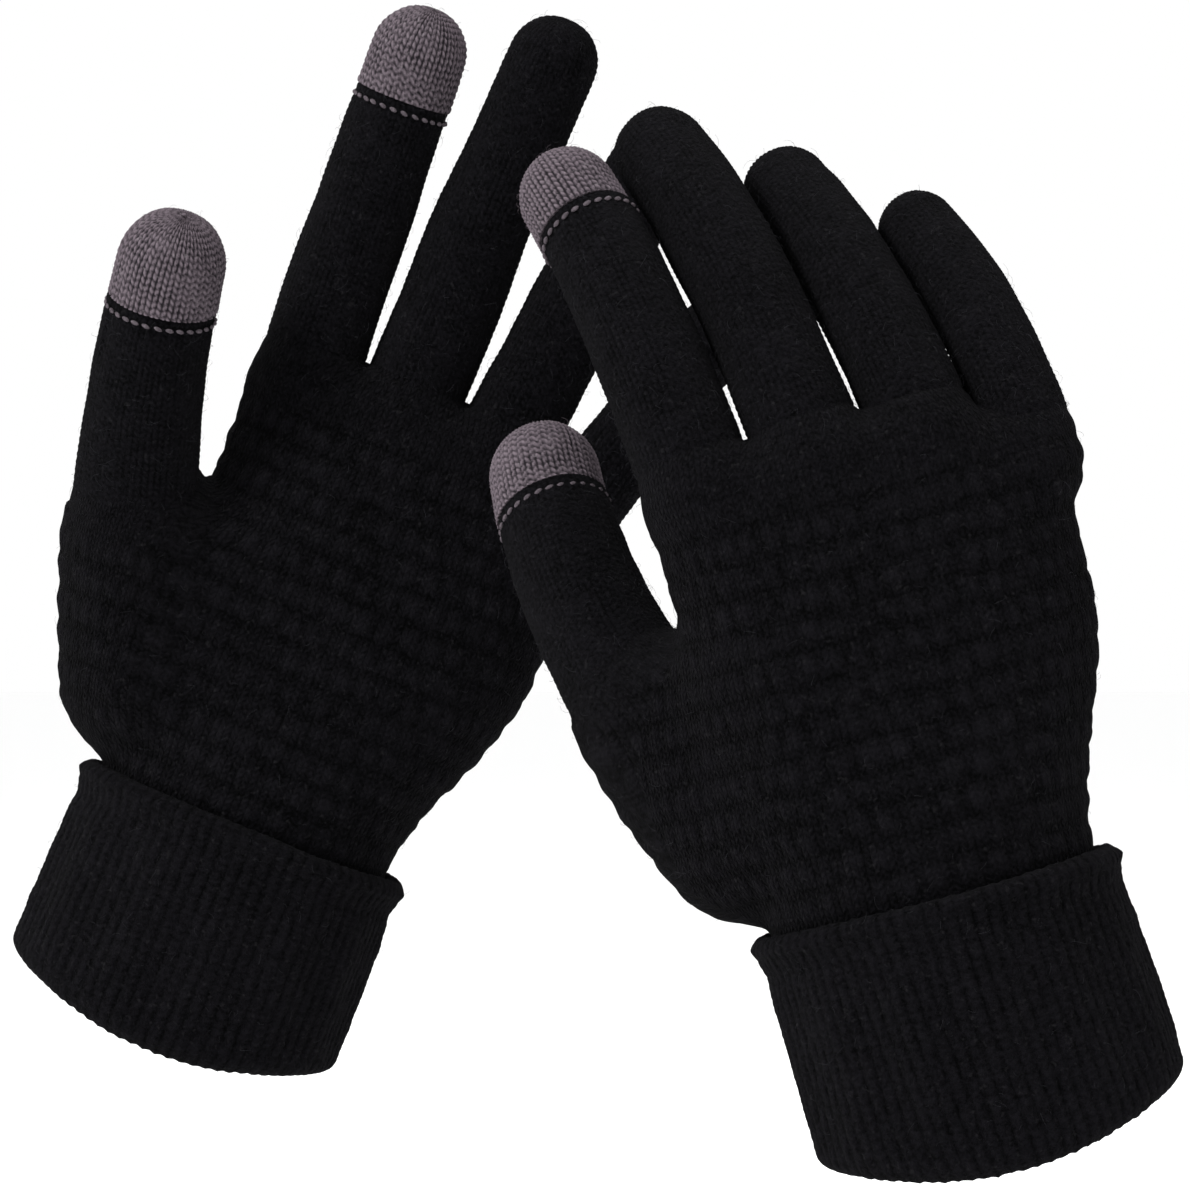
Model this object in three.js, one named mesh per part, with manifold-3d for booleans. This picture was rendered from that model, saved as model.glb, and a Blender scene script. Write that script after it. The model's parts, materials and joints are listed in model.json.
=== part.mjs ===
// A pair of knitted touchscreen gloves in the shape they have on two raised hands.
// Millimetres, +Z up. The left glove shows its palm to -Y, and the right glove, nearer, shows its back.
// Each glove is drawn in its own hand frame: x towards the little finger, y towards the back of the
// hand, z towards the fingertips, with the origin at the wrist, on the cuff's top edge.
import * as THREE from "three";
import { mergeVertices } from "three/addons/utils/BufferGeometryUtils.js";
import Module from "manifold-3d";

const wasm = await Module();
wasm.setup();

// ---- sizes of the glove -------------------------------------------------------------------------
const KNIT = 2.2; // thickness of the hand's and stalls' fabric
const RIB = 2.6; // thickness of one layer of the ribbed cuff
const JOIN_GAP = 0.5; // clearance between two pieces that the knitting joins
const FLEX_GAP = 0.8; // clearance at a knuckle that bends

const CUFF_LENGTH = 43; // along its sides, from the fold at the wrist opening up to the turned-back edge
const CUFF_HALF_WIDTH = 35;
const CUFF_HALF_DEPTH = 24.5;
const CUFF_FLARE = 1.2; // how much wider the cuff is at its fold
const CUFF_SAG = 7; // how much lower the fold hangs in front and behind than at the sides
const CUFF_WELT = 0.7; // how far the rolled edge stands out from the turned-back layer
const CUFF_OVERLAP = 7; // how far the turned-back layer covers the hand
const ELASTIC = 0.9; // thickness of the elastic thread between the cuff's two layers
const CUFF_SLOT = ELASTIC + 2 * 0.4; // space between those layers
const ELASTIC_BELOW_EDGE = 16;

const HAND_LENGTH = 96; // from the wrist to the top of the hand's tube, between the stalls
const WRIST_HALF_WIDTH = CUFF_HALF_WIDTH - RIB - JOIN_GAP;
const WRIST_HALF_DEPTH = CUFF_HALF_DEPTH - RIB - JOIN_GAP;
const PALM_HALF_WIDTH = 39.4;
const PALM_HALF_DEPTH = 16.5;
const KNUCKLE_HALF_DEPTH = 12.5;
const PALM_OFFSET = 5.6; // how far the hand's middle lies towards the little finger of the wrist's
const PALM_SQUARENESS = 2.5; // exponent of the hand's superellipse section
const LITTLE_SHOULDER = { from: 22, slope: 0.52 }; // the top edge falls away beyond this x
const INDEX_SHOULDER = { from: 20, slope: 0.25 }; // and on the index finger's side

const WEB = { x: -18, from: 22, to: 55, radius: 15 }; // the rod that the thumb's web reaches to

const TIP_LENGTH = 19; // the conductive fingertip
const TIP_SEAM = 1.3; // the course of stitches that links it to the stall
const STALL_FLATNESS = 0.94; // depth of a stall's section over its width

const ROUND = 12; // sides of a stall
const HAND_ROUND = 24; // sides of the hand and the cuff

// Widths at the fingers' roots, the middle finger's x, and the space left between one root and the next.
const WIDTH = { index: 21.8, middle: 21.4, ring: 20.4, little: 17.8 };
const MIDDLE_X = -1;
const ROOT_GAP = { index: 1, ring: 0.7, little: 0.5 };
const INDEX_X = MIDDLE_X - (WIDTH.middle + WIDTH.index) / 2 - ROOT_GAP.index;
const RING_X = MIDDLE_X + (WIDTH.middle + WIDTH.ring) / 2 + ROOT_GAP.ring;
const LITTLE_X = RING_X + (WIDTH.ring + WIDTH.little) / 2 + ROOT_GAP.little;

// Stalls: x and z of the root's middle, width there, length, share of the width lost by the tip, where
// the hand ends, the middle knuckle, and how far back inside the hand its root begins.
const STALLS = {
  index: { x: INDEX_X, z: HAND_LENGTH + 1.5, width: WIDTH.index, length: 74, taper: 0.12, start: 2.6, bend: 38.5, back: -7 },
  middle: { x: MIDDLE_X, z: HAND_LENGTH + 2, width: WIDTH.middle, length: 82, taper: 0.12, start: 2.6, bend: 42.5, back: -7 },
  ring: { x: RING_X, z: HAND_LENGTH - 0.5, width: WIDTH.ring, length: 74, taper: 0.13, start: 4.5, bend: 39.7, back: -7 },
  little: { x: LITTLE_X, z: HAND_LENGTH - 9.5, width: WIDTH.little, length: 60, taper: 0.14, start: 5, bend: 33, back: -7 },
  thumb: { x: -30, z: 15, width: 30, length: 105, taper: 0.3, start: 45, bend: 74, back: 5 },
};
const TOUCH = ["thumb", "index"]; // the stalls that end in a conductive tip

// ---- postures: how each hand holds its glove, in degrees ----------------------------------------
// spread: the lean towards the little finger at the root and at the tip. curl: the same towards the palm.
const LEFT = {
  name: "left",
  mouth: [0, 0, 0], // the middle of its cuff's fold
  roll: 22, // leans towards +X
  palm: -1, // its palm faces -Y
  cuffSkew: 0,
  cupped: 0, // how much nearer the wrist its knuckles are, because its palm is hollowed
  index: { spread: [-3, -1], curl: [2, 12] },
  middle: { spread: [0, 2], curl: [2, 9] },
  ring: { spread: [5, 9], curl: [3, 12] },
  little: { spread: [13, 22], curl: [3, 16] },
  thumb: { y: -4, spread: [-27, -2], curl: [6, 26] },
};
const RIGHT = {
  name: "right",
  mouth: [164.7, -105, -11.1],
  roll: -15,
  palm: 1,
  cuffSkew: 2,
  cupped: 5.5,
  index: { spread: [-4, -18], curl: [12, 46] },
  middle: { spread: [-5.4, -20.9], curl: [16, 52] },
  ring: { spread: [-6.8, -26.4], curl: [20, 62] },
  little: { spread: [-2.7, -26.8], curl: [17, 50] },
  thumb: { y: -7, spread: [-29, 8], curl: [10, 40] },
};

const radians = THREE.MathUtils.degToRad;
const mix = THREE.MathUtils.lerp;
const smooth = THREE.MathUtils.smoothstep;

// ---- closed meshes and solids -------------------------------------------------------------------
// Moves every vertex by place(vertex), merges the vertices that meet, and drops triangles with no area.
function warped(geometry, place) {
  const source = geometry.clone();
  for (const name of Object.keys(source.attributes)) {
    if (name !== "position") source.deleteAttribute(name);
  }
  const at = source.getAttribute("position");
  const vertex = new THREE.Vector3();
  for (let i = 0; i < at.count; i++) {
    const moved = place(vertex.fromBufferAttribute(at, i));
    at.setXYZ(i, moved.x, moved.y, moved.z);
  }
  const merged = mergeVertices(source, 1e-4);
  const index = merged.index.array;
  const kept = [];
  for (let i = 0; i < index.length; i += 3) {
    const [a, b, c] = [index[i], index[i + 1], index[i + 2]];
    if (a !== b && b !== c && c !== a) kept.push(a, b, c);
  }
  merged.setIndex(kept);
  return merged;
}

function solid(geometry) {
  return new wasm.Manifold(
    new wasm.Mesh({
      numProp: 3,
      vertProperties: new Float32Array(geometry.getAttribute("position").array),
      triVerts: new Uint32Array(geometry.index.array),
    }),
  );
}

function geometryOf(manifold) {
  const mesh = manifold.getMesh();
  return new THREE.BufferGeometry()
    .setAttribute("position", new THREE.BufferAttribute(new Float32Array(mesh.vertProperties), 3))
    .setIndex(new THREE.BufferAttribute(new Uint32Array(mesh.triVerts), 1));
}

// A profile of [radius, height] points turned about +Y, with its faces pointing out.
function turned(points, sides) {
  return new THREE.LatheGeometry(
    points.map(([radius, height]) => new THREE.Vector2(radius, height)),
    sides,
  );
}

// ---- a stall's line -----------------------------------------------------------------------------
function direction(spread, curl) {
  const [s, c] = [radians(spread), radians(curl)];
  return new THREE.Vector3(Math.sin(s) * Math.cos(c), -Math.sin(c), Math.cos(s) * Math.cos(c));
}

// The centreline is a cubic curve between the directions at the root and the tip. Before the root it
// runs straight back into the hand. `palmward` is the way in which the stall bends.
function stallLine(size, pose, palmward) {
  const root = new THREE.Vector3(size.x, pose.y ?? 0, size.z);
  const [first, last] = [0, 1].map((end) => direction(pose.spread[end], pose.curl[end]));
  const turn = first.angleTo(last);
  const chord = size.length * (1 - (turn * turn) / 24); // an arc's chord is this much shorter
  const tip = first.clone().add(last).setLength(chord).add(root);
  const third = size.length / 3;
  const curve = new THREE.CubicBezierCurve3(
    root,
    first.clone().multiplyScalar(third).add(root),
    last.clone().multiplyScalar(-third).add(tip),
    tip,
  );
  const long = curve.getLength();
  return (s) => {
    const share = THREE.MathUtils.clamp(s / long, 0, 1);
    const along = curve.getTangentAt(share);
    const point = curve.getPointAt(share).addScaledVector(along, s - share * long);
    const flex = palmward.clone().addScaledVector(along, -palmward.dot(along)).normalize();
    const across = new THREE.Vector3().crossVectors(flex, along);
    return { point, along, flex, across };
  };
}

// How much narrower a stall is than its root, at the distance s along it.
function narrowing(stall, s) {
  return 1 - stall.taper * THREE.MathUtils.clamp(s / stall.length, 0, 1);
}

// Wraps a turned profile, whose height is the way along the stall, onto the stall's line.
function onStall(profile, stall) {
  return warped(profile, (v) => {
    const narrow = narrowing(stall, v.y);
    const { point, flex, across } = stall.line(v.y);
    return point
      .addScaledVector(across, v.x * narrow)
      .addScaledVector(flex, -v.z * narrow * STALL_FLATNESS);
  });
}

function steps(from, to, spacing) {
  const count = Math.max(1, Math.round((to - from) / spacing));
  return Array.from({ length: count + 1 }, (_, i) => mix(from, to, i / count));
}

// A tube of fabric, open at both ends.
function tubeProfile(radius, from, to) {
  const rows = steps(from, to, 12);
  const outside = rows.map((z) => [radius, z]);
  const inside = rows.map((z) => [radius - KNIT, z]).reverse();
  return turned([...outside, ...inside, outside[0]], ROUND);
}

// A tube with a round closed end, as the end of a sock.
function sockProfile(radius, from, to) {
  const DOME_STEPS = 4;
  const straight = Math.max(from + 1, to - radius);
  const rise = to - straight;
  const dome = (r, high) =>
    Array.from({ length: DOME_STEPS }, (_, i) => {
      const a = ((i + 1) / DOME_STEPS) * (Math.PI / 2);
      return [i + 1 === DOME_STEPS ? 0 : r * Math.cos(a), straight + high * Math.sin(a)];
    });
  const rows = steps(from, straight, 12);
  const outside = [...rows.map((z) => [radius, z]), ...dome(radius, rise)];
  const inner = radius - KNIT;
  const inside = [...rows.map((z) => [inner, z]), ...dome(inner, rise - KNIT)].reverse();
  return turned([...outside, ...inside, outside[0]], ROUND);
}

// A solid rod that begins as a dome, to grow out of the hand without a step.
function rootProfile(radius, from, to) {
  const DOME_STEPS = 4;
  const dome = Array.from({ length: DOME_STEPS }, (_, i) => {
    const a = ((i + 1) / DOME_STEPS) * (Math.PI / 2);
    return [radius * Math.sin(a), from - radius * Math.cos(a)];
  });
  const rows = steps(from, to, 11).slice(1);
  return turned([[0, from - radius], ...dome, ...rows.map((z) => [radius, z]), [0, to]], ROUND);
}

// ---- the hand -----------------------------------------------------------------------------------
// Half width, half depth and sideways offset of the hand's section at height z.
function handSection(z) {
  const up = smooth(z, 0, 50);
  const top = smooth(z, 45, HAND_LENGTH);
  return {
    power: 2 / mix(2, PALM_SQUARENESS, up),
    halfWidth: mix(WRIST_HALF_WIDTH, PALM_HALF_WIDTH, up),
    halfDepth: mix(mix(WRIST_HALF_DEPTH, PALM_HALF_DEPTH, up), KNUCKLE_HALF_DEPTH, top),
    offset: PALM_OFFSET * up,
  };
}

// How far the hand's top edge lies below its highest part, at x.
function shoulder(x) {
  const little = Math.max(0, x - LITTLE_SHOULDER.from) * LITTLE_SHOULDER.slope;
  const index = Math.max(0, -x - INDEX_SHOULDER.from) * INDEX_SHOULDER.slope;
  return little + index;
}

// The hand's tube as one solid, `inset` inside its outer surface.
function handSolid(inset, from, to, cupped) {
  const ROWS = 9;
  const column = new THREE.CylinderGeometry(1, 1, 1, HAND_ROUND, ROWS);
  return solid(
    warped(column, (v) => {
      const z = mix(from, to, v.y + 0.5);
      const { power, halfWidth, halfDepth, offset } = handSection(z);
      const radius = Math.hypot(v.x, v.z);
      const square = (c, half) =>
        radius && Math.sign(c) * Math.abs(c / radius) ** power * radius * (half - inset);
      const x = square(v.x, halfWidth) + offset;
      const lower = (shoulder(x) + cupped) * smooth(z, 50, HAND_LENGTH);
      return new THREE.Vector3(x, square(-v.z, halfDepth), z - lower);
    }),
  );
}

// The fabric between the thumb and the palm: it spans the thumb's root and a rod inside the hand.
function webSolid(thumb, inset) {
  const { x, from, to, radius } = WEB;
  const root = solid(onStall(rootProfile(thumb.radius - inset, thumb.back, thumb.start - 4), thumb));
  const rod = warped(rootProfile(radius - inset, from, to - inset), (v) => new THREE.Vector3(v.x + x, -v.z, v.y));
  return root.add(solid(rod)).hull();
}

// The hand's fabric: its tube, the thumb's root and the stalls' roots, hollow and open at every end.
function handGeometry(stalls, cupped) {
  const PAST = 4; // how far the hollow is cut past an opening
  let outer = handSolid(0, -CUFF_OVERLAP, HAND_LENGTH, cupped);
  let inner = handSolid(KNIT, -CUFF_OVERLAP - PAST, HAND_LENGTH - KNIT, cupped);
  for (const stall of stalls) {
    const { radius, back, start } = stall;
    outer = outer.add(solid(onStall(rootProfile(radius, back, start), stall)));
    inner = inner.add(solid(onStall(rootProfile(radius - KNIT, back, start + PAST), stall)));
  }
  const thumb = stalls.find(({ name }) => name === "thumb");
  outer = outer.add(webSolid(thumb, 0));
  inner = inner.add(webSolid(thumb, KNIT));
  return geometryOf(outer.subtract(inner));
}

// ---- the cuff -----------------------------------------------------------------------------------
// Wraps a turned profile onto the cuff's oval: its radius is CUFF_HALF_WIDTH on the outer surface.
function onCuff(profile, skew) {
  return warped(profile, (v) => {
    const radius = Math.hypot(v.x, v.z);
    const inward = CUFF_HALF_WIDTH - radius;
    const down = THREE.MathUtils.clamp(-v.y / CUFF_LENGTH, 0, 1);
    const wider = CUFF_FLARE * down;
    const x = (v.x / radius) * (CUFF_HALF_WIDTH + wider - inward);
    const y = (-v.z / radius) * (CUFF_HALF_DEPTH + wider - inward);
    const sag = CUFF_SAG * down * down * (v.z / radius) ** 2;
    return new THREE.Vector3(x - v.y * Math.tan(radians(skew)), y, v.y - sag);
  });
}

// One ribbed tube folded at the wrist opening: the layer on the wrist, and the layer turned back over
// it, with a slot between them that is open at the top.
function cuffGeometry(skew) {
  const fold = 1.5; // how far the fold's edges are rounded off
  const outside = CUFF_HALF_WIDTH;
  const slotOut = outside - RIB;
  const slotIn = slotOut - CUFF_SLOT;
  const inside = slotIn - RIB;
  const bottom = -CUFF_LENGTH;
  const wristTop = -CUFF_OVERLAP - JOIN_GAP;
  const middle = -CUFF_LENGTH / 2;
  const profile = [
    [outside - fold, bottom],
    [outside, bottom + fold],
    [outside, middle],
    [outside, -3.2],
    [outside + CUFF_WELT, -2.4],
    [outside + CUFF_WELT, -0.8],
    [outside, 0],
    [slotOut, 0],
    [slotOut, middle],
    [slotOut, bottom + RIB],
    [slotIn, bottom + RIB],
    [slotIn, middle],
    [slotIn, wristTop],
    [inside, wristTop],
    [inside, middle],
    [inside, bottom + fold],
    [inside + fold, bottom],
  ];
  return onCuff(turned([...profile, profile[0]], HAND_ROUND), skew);
}

// The elastic thread that is laid round the cuff between its layers.
function elasticGeometry(skew) {
  const middle = CUFF_HALF_WIDTH - RIB - CUFF_SLOT / 2;
  const SIDES = 4;
  const ring = Array.from({ length: SIDES + 1 }, (_, i) => {
    const a = -((i % SIDES) / SIDES) * 2 * Math.PI;
    const [across, up] = [Math.cos(a), Math.sin(a)].map((c) => (c * ELASTIC) / 2);
    return [middle + across, -ELASTIC_BELOW_EDGE + up];
  }).reverse();
  return onCuff(turned(ring, HAND_ROUND), skew);
}

// ---- materials ----------------------------------------------------------------------------------
const knit = (color) => new THREE.MeshStandardMaterial({ color, roughness: 0.95, metalness: 0 });
const BLACK_KNIT = knit(0x17171a);
const BLACK_WAFFLE = knit(0x131315);
const BLACK_RIB = knit(0x141417);
const GREY_CONDUCTIVE = knit(0x5a5157);
const GREY_STITCH = knit(0x6b6268);
const ELASTIC_THREAD = knit(0x202022);

// ---- assembly -----------------------------------------------------------------------------------
// A stall bends about a line across its palm side: userData.hinge holds a point on that line, the
// way along the stall and the way in which it bends, in the hand frame.
function hingeAt(stall, s) {
  const { point, along, flex } = stall.line(s);
  const half = stall.radius * STALL_FLATNESS * narrowing(stall, s);
  return { point: point.clone().addScaledVector(flex, half), along, flex };
}

function piece(name, geometry, material, hinge) {
  const mesh = new THREE.Mesh(geometry, material);
  mesh.name = name;
  if (hinge) mesh.userData.hinge = hinge;
  return mesh;
}

function stallPieces(name, stall) {
  const { radius, start, bend, length, touch } = stall;
  const lower = tubeProfile(radius, start + FLEX_GAP, bend);
  const upperFrom = bend + FLEX_GAP;
  const endOfStall = touch ? length - TIP_LENGTH - TIP_SEAM - 2 * JOIN_GAP : length;
  const upper = (touch ? tubeProfile : sockProfile)(radius, upperFrom, endOfStall);
  const hinges = [start, bend].map((s) => hingeAt(stall, s + FLEX_GAP / 2));
  const pieces = [
    piece(name + "_lower", onStall(lower, stall), BLACK_KNIT, hinges[0]),
    piece(name + "_upper", onStall(upper, stall), BLACK_KNIT, hinges[1]),
  ];
  if (touch) {
    const seamFrom = endOfStall + JOIN_GAP;
    const tipFrom = seamFrom + TIP_SEAM + JOIN_GAP;
    const seam = tubeProfile(radius, seamFrom, seamFrom + TIP_SEAM);
    pieces.push(piece(name + "_tip_seam", onStall(seam, stall), GREY_STITCH));
    const tip = sockProfile(radius, tipFrom, length);
    pieces.push(piece(name + "_tip", onStall(tip, stall), GREY_CONDUCTIVE));
  }
  return pieces;
}

function glove(pose) {
  const PALM = new THREE.Vector3(0, -1, 0);
  const THUMB_BEND = new THREE.Vector3(0.5, -0.866, 0); // towards the palm and the little finger
  const stalls = Object.entries(STALLS).map(([name, size]) => {
    const isThumb = name === "thumb";
    const placed = { ...size, z: size.z - (isThumb ? 0 : pose.cupped) };
    const line = stallLine(placed, pose[name], isThumb ? THUMB_BEND : PALM);
    return { ...size, name, radius: size.width / 2, touch: TOUCH.includes(name), line };
  });
  const hand = new THREE.Group();
  const named = (what) => pose.name + "_" + what;
  hand.add(piece(named("hand"), handGeometry(stalls, pose.cupped), BLACK_WAFFLE));
  hand.add(piece(named("cuff"), cuffGeometry(pose.cuffSkew), BLACK_RIB));
  hand.add(piece(named("cuff_elastic"), elasticGeometry(pose.cuffSkew), ELASTIC_THREAD));
  for (const stall of stalls) hand.add(...stallPieces(named(stall.name), stall));
  hand.rotation.y = radians(pose.roll);
  hand.position.set(0, 0, CUFF_LENGTH).applyEuler(hand.rotation);
  hand.position.add(new THREE.Vector3(...pose.mouth));
  hand.scale.y = -pose.palm; // the right glove is the left one mirrored
  return hand;
}

const pair = new THREE.Group();
pair.add(glove(LEFT), glove(RIGHT));

export default pair;
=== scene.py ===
"""A pair of black knitted gloves with grey conductive fingertips, in the shape of two raised hands.

Everything is worked out in each hand's own frame, in millimetres: x towards the little finger, y towards
the back of the hand, z towards the fingertips, from the wrist at the cuff's upper edge. The right glove
is the left one mirrored in y, and put down with another lean and other bends.
"""

import json
import math

import bpy
import numpy as np
from mathutils import Vector
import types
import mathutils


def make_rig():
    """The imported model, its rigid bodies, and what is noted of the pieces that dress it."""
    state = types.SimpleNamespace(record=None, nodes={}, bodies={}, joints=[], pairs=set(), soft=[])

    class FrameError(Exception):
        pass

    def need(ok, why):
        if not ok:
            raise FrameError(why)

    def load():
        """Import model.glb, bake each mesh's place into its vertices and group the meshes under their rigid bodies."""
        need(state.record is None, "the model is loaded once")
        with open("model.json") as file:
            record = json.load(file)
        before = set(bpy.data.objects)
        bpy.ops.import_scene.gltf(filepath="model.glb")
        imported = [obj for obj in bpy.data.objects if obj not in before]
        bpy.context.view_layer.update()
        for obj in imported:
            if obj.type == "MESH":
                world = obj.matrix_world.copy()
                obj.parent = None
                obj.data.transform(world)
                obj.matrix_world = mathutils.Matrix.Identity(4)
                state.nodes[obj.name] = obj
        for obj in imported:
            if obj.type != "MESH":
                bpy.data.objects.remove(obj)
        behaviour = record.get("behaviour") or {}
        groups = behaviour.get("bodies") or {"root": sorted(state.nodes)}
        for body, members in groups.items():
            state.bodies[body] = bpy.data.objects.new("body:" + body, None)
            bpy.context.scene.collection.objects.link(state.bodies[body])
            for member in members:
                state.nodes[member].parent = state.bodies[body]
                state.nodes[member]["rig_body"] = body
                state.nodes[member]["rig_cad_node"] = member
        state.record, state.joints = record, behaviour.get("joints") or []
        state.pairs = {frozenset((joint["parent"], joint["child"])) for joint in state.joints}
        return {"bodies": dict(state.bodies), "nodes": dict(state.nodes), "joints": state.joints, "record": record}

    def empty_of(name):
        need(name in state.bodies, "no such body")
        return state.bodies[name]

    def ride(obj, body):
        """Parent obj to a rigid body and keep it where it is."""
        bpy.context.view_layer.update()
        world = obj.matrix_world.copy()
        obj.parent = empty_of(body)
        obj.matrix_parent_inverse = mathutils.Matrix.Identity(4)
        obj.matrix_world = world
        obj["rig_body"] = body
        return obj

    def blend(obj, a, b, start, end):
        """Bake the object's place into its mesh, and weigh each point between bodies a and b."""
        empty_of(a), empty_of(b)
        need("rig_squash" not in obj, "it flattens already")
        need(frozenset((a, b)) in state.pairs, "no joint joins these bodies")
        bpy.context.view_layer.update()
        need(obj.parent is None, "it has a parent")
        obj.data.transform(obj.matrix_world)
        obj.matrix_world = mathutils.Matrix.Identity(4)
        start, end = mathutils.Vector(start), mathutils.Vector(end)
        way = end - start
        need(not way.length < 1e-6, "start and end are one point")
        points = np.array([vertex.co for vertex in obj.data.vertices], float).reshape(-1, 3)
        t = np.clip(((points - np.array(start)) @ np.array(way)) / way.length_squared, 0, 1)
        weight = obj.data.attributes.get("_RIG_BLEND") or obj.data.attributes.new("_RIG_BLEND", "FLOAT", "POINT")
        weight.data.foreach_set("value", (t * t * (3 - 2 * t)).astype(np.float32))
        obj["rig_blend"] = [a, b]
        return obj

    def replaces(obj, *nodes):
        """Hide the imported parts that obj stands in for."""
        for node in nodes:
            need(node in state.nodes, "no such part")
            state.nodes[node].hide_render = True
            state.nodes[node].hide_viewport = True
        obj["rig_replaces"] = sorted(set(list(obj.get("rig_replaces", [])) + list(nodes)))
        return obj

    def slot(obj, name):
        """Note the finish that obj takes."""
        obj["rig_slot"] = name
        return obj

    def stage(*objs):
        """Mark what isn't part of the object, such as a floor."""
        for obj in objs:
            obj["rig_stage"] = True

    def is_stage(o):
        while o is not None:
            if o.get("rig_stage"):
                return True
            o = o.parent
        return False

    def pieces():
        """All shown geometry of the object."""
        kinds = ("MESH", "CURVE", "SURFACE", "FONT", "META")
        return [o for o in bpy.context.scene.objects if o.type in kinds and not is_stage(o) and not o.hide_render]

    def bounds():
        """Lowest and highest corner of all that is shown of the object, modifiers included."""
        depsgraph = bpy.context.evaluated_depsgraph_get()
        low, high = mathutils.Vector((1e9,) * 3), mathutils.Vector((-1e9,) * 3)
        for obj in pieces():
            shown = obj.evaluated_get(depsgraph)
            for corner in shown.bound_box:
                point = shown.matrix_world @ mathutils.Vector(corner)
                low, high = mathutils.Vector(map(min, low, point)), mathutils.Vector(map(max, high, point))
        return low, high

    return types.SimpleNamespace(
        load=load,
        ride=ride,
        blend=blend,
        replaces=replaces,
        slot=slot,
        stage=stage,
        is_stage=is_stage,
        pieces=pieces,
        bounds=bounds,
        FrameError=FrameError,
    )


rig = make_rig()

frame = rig.load()
cad_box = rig.bounds()

# ---- sizes, in millimetres ----------------------------------------------------------------------
FABRIC = 2.2
RIB_FABRIC = 2.6
COURSE = 1.45  # height of one row of stitches
WALE = 2.4  # width of one stitch

CUFF_LENGTH = 43
CUFF_HALF = (35, 24.5)  # half width and half depth
CUFF_FLARE = 1.2
CUFF_SAG = 7
CUFF_OVERLAP = 7
CUFF_SLOT = 1.7
RIBS = 78

HAND_LENGTH = 96
WRIST_HALF = (31.9, 21.4)
PALM_HALF = (39.4, 16.5)
KNUCKLE_HALF_DEPTH = 12.5
PALM_OFFSET = 5.6
PALM_SQUARENESS = 2.5

TIP_LENGTH = 19
STALL_FLATNESS = 0.94

# ---- relief and meshes, in millimetres -----------------------------------------------------------
WAFFLE_HEIGHT = 0.42
PLAIN_HEIGHT = 0.28  # the hand's level above and beside the waffle
JERSEY_HEIGHT = 0.26
TIP_HEIGHT = 0.55
NET_STEP = 0.64  # the hand's outer net
INNER_STEP = 2.2  # the net of its inside
COARSE_STEP = 4.0  # the net that finds where the fine one is needed
NEAR_SURFACE = 7
PER_STITCH = 6  # columns of vertices to a stitch or a rib
FIBRE_HIGHLIGHT = 1.4  # a fibre's height on the yarn, past every crest, which makes the finish paint a highlight on it

# Stalls: root's x and z, width there, length, share of width lost by the tip, the two joints, how far
# back its root starts, where its own tube starts, where that tube is parted, and its stitches around.
STALLS = {
    "index": dict(
        x=-23.6, z=97.5, width=21.8, length=74, taper=0.12, start=2.6, bend=38.5,
        back=-7, tube=-2, part=21, wales=27,
    ),
    "middle": dict(
        x=-1, z=98, width=21.4, length=82, taper=0.12, start=2.6, bend=42.5,
        back=-7, tube=-2, part=22, wales=26,
    ),
    "ring": dict(
        x=20.6, z=95.5, width=20.4, length=74, taper=0.13, start=4.5, bend=39.7,
        back=-7, tube=-2, part=21, wales=25,
    ),
    "little": dict(
        x=40.2, z=86.5, width=17.8, length=60, taper=0.14, start=5, bend=33,
        back=-7, tube=-1, part=18, wales=22,
    ),
    "thumb": dict(
        x=-30, z=15, width=30, length=105, taper=0.3, start=45, bend=74,
        back=5, tube=39, part=59, wales=30,
    ),
}
TOUCH = ("thumb", "index")

POSTURES = {
    "left": dict(
        lean=22, palm=-1, skew=0, cupped=0, drop=0,
        index=((-3, -1), (2, 12)), middle=((0, 2), (2, 9)), ring=((5, 9), (3, 12)),
        little=((13, 22), (3, 16)), thumb=((-27, -2), (6, 26)), thumb_y=-4,
    ),
    "right": dict(
        lean=-15, palm=1, skew=2, cupped=5.5, drop=3.5,
        index=((-4, -18), (12, 46)), middle=((-5.4, -20.9), (16, 52)), ring=((-6.8, -26.4), (20, 62)),
        little=((-2.7, -26.8), (17, 50)), thumb=((-29, 8), (10, 40)), thumb_y=-7,
    ),
}
MOUTHS = {"left": (0, 0, 0), "right": (164.7, -105, -11.1)}  # the middle of each cuff's fold

TAU = 2 * math.pi


def ease(v, low, high):
    """0 below low and 1 above high, with 3t^2 - 2t^3 between."""
    t = np.clip((v - low) / (high - low), 0, 1)
    return t * t * (3 - 2 * t)


def mix(a, b, t):
    return a + (b - a) * t


def unit(v):
    return v / np.linalg.norm(v, axis=-1, keepdims=True)


def wander(a, b, seed, waves=7):
    """A smooth wavering between about -1 and 1: a sum of sine waves in random directions."""
    rng = np.random.default_rng(seed)
    total = np.zeros(np.broadcast(a, b).shape)
    for _ in range(waves):
        fa, fb, phase = rng.normal(0, 1, 2).tolist() + [rng.uniform(0, TAU)]
        total = total + np.sin(fa * a + fb * b + phase)
    return total / waves**0.5 / 1.3


# ---- knitting patterns: heights between 0 in a groove and 1 on the yarn's crest --------------------
def jersey(wale, course):
    """Plain knitting. Each stitch is a V of two yarn legs: the rows rise from the V's foot to its sides
    as course - 0.75 |side|, and each leg's section is a round hump between the grooves beside it."""
    side = np.abs(wale - np.floor(wale) - 0.5) * 2
    rows = 0.5 + 0.5 * np.cos(TAU * (course - 0.75 * side))
    leg = 1 - np.abs(2 * side - 1) ** 2.4
    return leg**0.8 * (0.25 + 0.75 * rows**0.8)


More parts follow.
